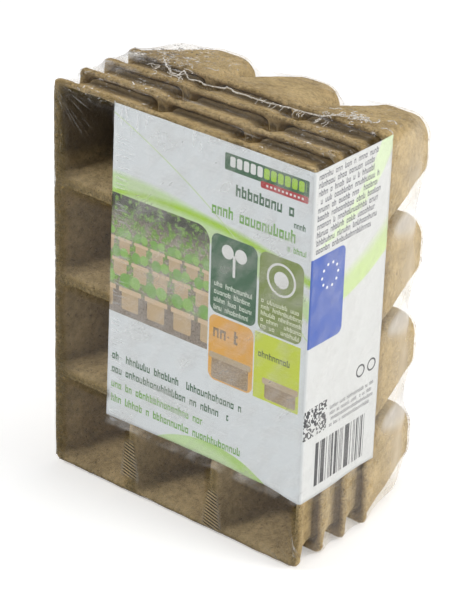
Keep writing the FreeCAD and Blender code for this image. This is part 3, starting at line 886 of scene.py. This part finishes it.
# Painted highlights of thin creases: white streaks along the top, rays at two corners of the front, hatching
# at the sheet's edges.
streaks = noise(stretched(position, (60, 700, 700)), 1, 3, 0.5)
crease_highlights = product(top, step_up(streaks, 0.60, 0.70), 0.22)
for corner_x, corner_z, ray_count, reach in ((film_low[0], film_high[2], 52, 30),
                                             (film_high[0], film_low[2], 60, 26)):
    aside, above = less(x, corner_x), less(z, corner_z)
    away = maths("SQRT", total(product(aside, aside), product(above, above)))
    turned = together(product(maths("ARCTAN2", above, aside), ray_count / 3), product(away, 0.035))
    rays = product(front, step_up(noise(turned, 1, 2, 0.5), 0.56, 0.72), band(away, 1, 4, reach - 14, reach),
                   opposite(sheet))
    crease_highlights = larger(crease_highlights, product(rays, 0.30))
from_left = less(less(x, sheet_low[0]), product(less(z, sheet_low[2]), edge_lean / sheet_tall))
for across_scale, up_scale, near in (
        (100, 900, band(from_left, 1.2, 2.5, 5, 13)),
        (420, 80, product(band(z, 146, 154, 159, 161), band(x, -60, -56, 10, 24)))):
    lines = noise(stretched(position, (across_scale, 100, up_scale), (0, 0.12, 0)), 1, 2, 0.5)
    crease_highlights = larger(crease_highlights, product(front, sheet, near, step_up(lines, 0.50, 0.64), 0.4))
# Soft diagonal ripples over the sheet; over the sheet they also lay out a painted sheen in the haze.
slanting = stretched(stretched(position, (1, 1, 1), (0.5, 0.85, 0)), (35, 160, 160))
ripples_and_sheen = noise(slanting, 1, 3, 0.5)
# Pleats where the film is gathered over two of the dividers, painted as lit ridges and shaded near-black
# furrows.
pleats = 0.0
for middle_x, from_z, to_z in ((-20.5, 7, 26), (20, 1, 21)):
    wide = total(2.3, product(less(to_z, z), 0.13))
    aside = maths("DIVIDE", maths("ABSOLUTE", less(x, middle_x)), wide)
    pleats = larger(pleats, product(front, step_up(aside, 1.15, 0.7), opposite(sheet),
                                    band(z, from_z, from_z + 2, to_z - 3, to_z)))
wave = maths("SINE", product(total(z, product(x, 0.25)), 2 * math.pi / 1.4))
pleat_painted_light = product(pleats, step_up(wave, 0.0, 0.8))
pleat_painted_shade = product(pleats, step_up(wave, 0.15, -0.5))
# Painted glints on crumpled rims, and painted shade in the hollows of the crumpled film.
glints = noise(position, 620, 2, distortion=1.2)
rough_rim = product(band(z, 156, 159, 162, 163), larger(touch, 0.5), larger(
    band(x, -60, -56, -20, -8), band(x, 20, 34, 70, 80)))
crumpled = product(top, band(x, -62, -56, -38, -18), band(y, -9, -3, 20, 34))
glints = product(larger(rough_rim, crumpled), opposite(sheet), step_up(cluster, 0.44, 0.52), step_up(
    total(glints, product(crumpled, 0.045)), 0.61, 0.65))
crumple_painted_shade = product(crumpled, step_up(noise(position, 330, 2, distortion=1.5), 0.57, 0.62))
milky = product(step_up(z, 147, 153), band(x, -63, -61, -50, -38), band(y, -30, -14, 14, 26))

# How milky the film is, and its tint, place by place.
upper_left = product(step_up(z, 120, 132), step_up(x, -18, -24))
at_sides = step_up(maths("ABSOLUTE", x), 42, 54)
high_behind = product(step_up(z, 138, 148), step_up(y, 4, 10), hanging)
haze = total(product(opposite(larger(front, top)), opposite(product(sheet, 0.75)), 0.20),
             product(front, less(0.066, product(upper_left, 0.060))), product(top, 0.05))
haze = product(haze, larger(product(front, inside_edges), behind_front),
               opposite(product(hanging, opposite(at_sides), 0.55)))
haze = total(haze, product(hanging, opposite(product(top, 0.7)), total(
    product(at_sides, 0.24), product(step_up(ripples_and_sheen, 0.46, 0.70), 0.14))))
# Painted sheen: whiter haze in the pattern of the ripples over the sheet.
haze = total(haze, product(sheet, step_up(ripples_and_sheen, 0.42, 0.66), total(product(front, 0.12), 0.10)))
haze = larger(product(haze, opposite(product(high_behind, 0.85))),
              product(milky, step_up(cluster, 0.30, 0.70), 0.62),
              product(sticking, total(less(0.52, product(top, 0.22)), product(front, 0.10))),
              crease_highlights, total(product(pleat_painted_light, 0.6), product(pleat_painted_shade, 0.92)), product(crumple_painted_shade, 0.8),
              product(glints, 0.95))
wet = mixed(front, (0.40, 0.255, 0.075), mixed(
    step_up(patch, 0.60, 0.66), (0.10, 0.075, 0.022), (0.44, 0.30, 0.09)))
tint = mixed(top, (0.98, 0.85, 0.62), (0.62, 0.47, 0.25))
for mask, paint in (
        (front, (0.60, 0.60, 0.60)), (between, (0.50, 0.44, 0.38)),
        (larger(hanging, sheet, milky), (0.92, 0.90, 0.87)), (step_up(sticking, 0, 1 / 4), wet),
        (step_up(crease_highlights, 0, 1 / 3), (0.95, 0.95, 0.95)), (pleat_painted_light, (0.68, 0.54, 0.32)),
        (pleat_painted_shade, (0.025, 0.018, 0.008)), (crumple_painted_shade, (0.03, 0.02, 0.01)), (glints, (1, 1, 1))):
    tint = mixed(mask, tint, paint)
folds = noise(stretched(position, (1, 1, 0.35), (0, 0.6, 0.3)), 330, 3, distortion=0.8)
at_back = step_up(y, 4, 12)
bend = product(total(product(folds, 0.5), ripples_and_sheen, streaks), opposite(product(at_back, 0.75)))
feed(shader, Alpha=haze, Base_Color=tint, Normal=relief(bend, 0.7, 0.0012),
     Roughness=total(product(at_back, 0.32), 0.1))
shader.inputs["IOR"].default_value = 1.3

# The weld: the same film, melted together and cloudy.
weld, tree, shader = new_material("welded film")
cloudy = noise(object_place(tree), 1200, 2)
feed(shader, Base_Color=mixed(cloudy, (0.62, 0.56, 0.47), (0.98, 0.96, 0.92)),
     Alpha=step_up(cloudy, 0.1, 0.7))
shader.inputs["Roughness"].default_value = 0.25
film.data.materials.append(clear)
film.data.materials.append(weld)
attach(film, "root")
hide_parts("shrink_film")


# The floor, the backdrop and the lamps.
# A pale plain floor in front of a white backdrop, with large soft lamps to the upper left in
# front and to the right, as on a product table.
def seen_directly(tree):
    """1 for what the camera sees, also through the film and mirrored in it."""
    path = add_node(tree, "ShaderNodeLightPath").outputs
    return larger(*(path[f"Is {way} Ray"] for way in ("Camera", "Transmission", "Glossy")))


floor_reach = 6000
floor = mesh_piece("floor", floor_reach * np.array([(-1, -1, 0), (1, -1, 0), (1, 1, 0), (-1, 1, 0)]),
                   [(0, 1, 2, 3)])
pale, tree, shader = new_material("pale floor")
grain = noise(object_place(tree), 40, 2)
feed(shader, Base_Color=mixed(product(grain, 0.02), (0.90, 0.90, 0.90), (0.7, 0.7, 0.7)),
     Emission_Strength=product(seen_directly(tree), 0.42))
shader.inputs["Roughness"].default_value = 0.7
shader.inputs["Emission Color"].default_value = (1, 1, 1, 1)
floor.data.materials.append(pale)

world = bpy.data.worlds.new("studio")
bpy.context.scene.world = world
world.use_nodes = True
tree = world.node_tree
sky = next(node for node in tree.nodes if node.type == "BACKGROUND")
sky.inputs["Color"].default_value = (0.93, 0.96, 1.0, 1)
sky.inputs["Strength"].default_value = 0.2
backdrop = add_node(tree, "ShaderNodeBackground", {"Color": (1, 1, 1, 1), "Strength": 1.0})
chosen = add_node(tree, "ShaderNodeMixShader", {
    0: seen_directly(tree), 1: sky.outputs[0], 2: backdrop.outputs[0]})
ending = next(node for node in tree.nodes if node.type == "OUTPUT_WORLD")
tree.links.new(chosen.outputs[0], ending.inputs[0])

lit_point = Vector((0, 0, 0.08))
for name, place, width, power, colour in (
        ("left lamp", (-0.75, -0.95, 1.1), 0.28, 10.5, (1.0, 0.99, 0.97)),
        ("right lamp", (1.3, 0.35, 0.6), 0.7, 14.3, (1.0, 0.985, 0.96)),
        ("top lamp", (0.15, 0.35, 1.4), 0.7, 5, (1.0, 0.99, 0.97))):
    light = bpy.data.lights.new(name, "AREA")
    light.shape = "RECTANGLE"
    light.size = light.size_y = width
    light.energy = power
    light.color = colour
    stand = bpy.data.objects.new(name, light)
    stand.location = place
    stand.rotation_mode = "QUATERNION"
    stand.rotation_quaternion = (lit_point - Vector(place)).to_track_quat("-Z", "Y")
    bpy.context.collection.objects.link(stand)
bpy.context.scene.view_settings.view_transform = "Standard"
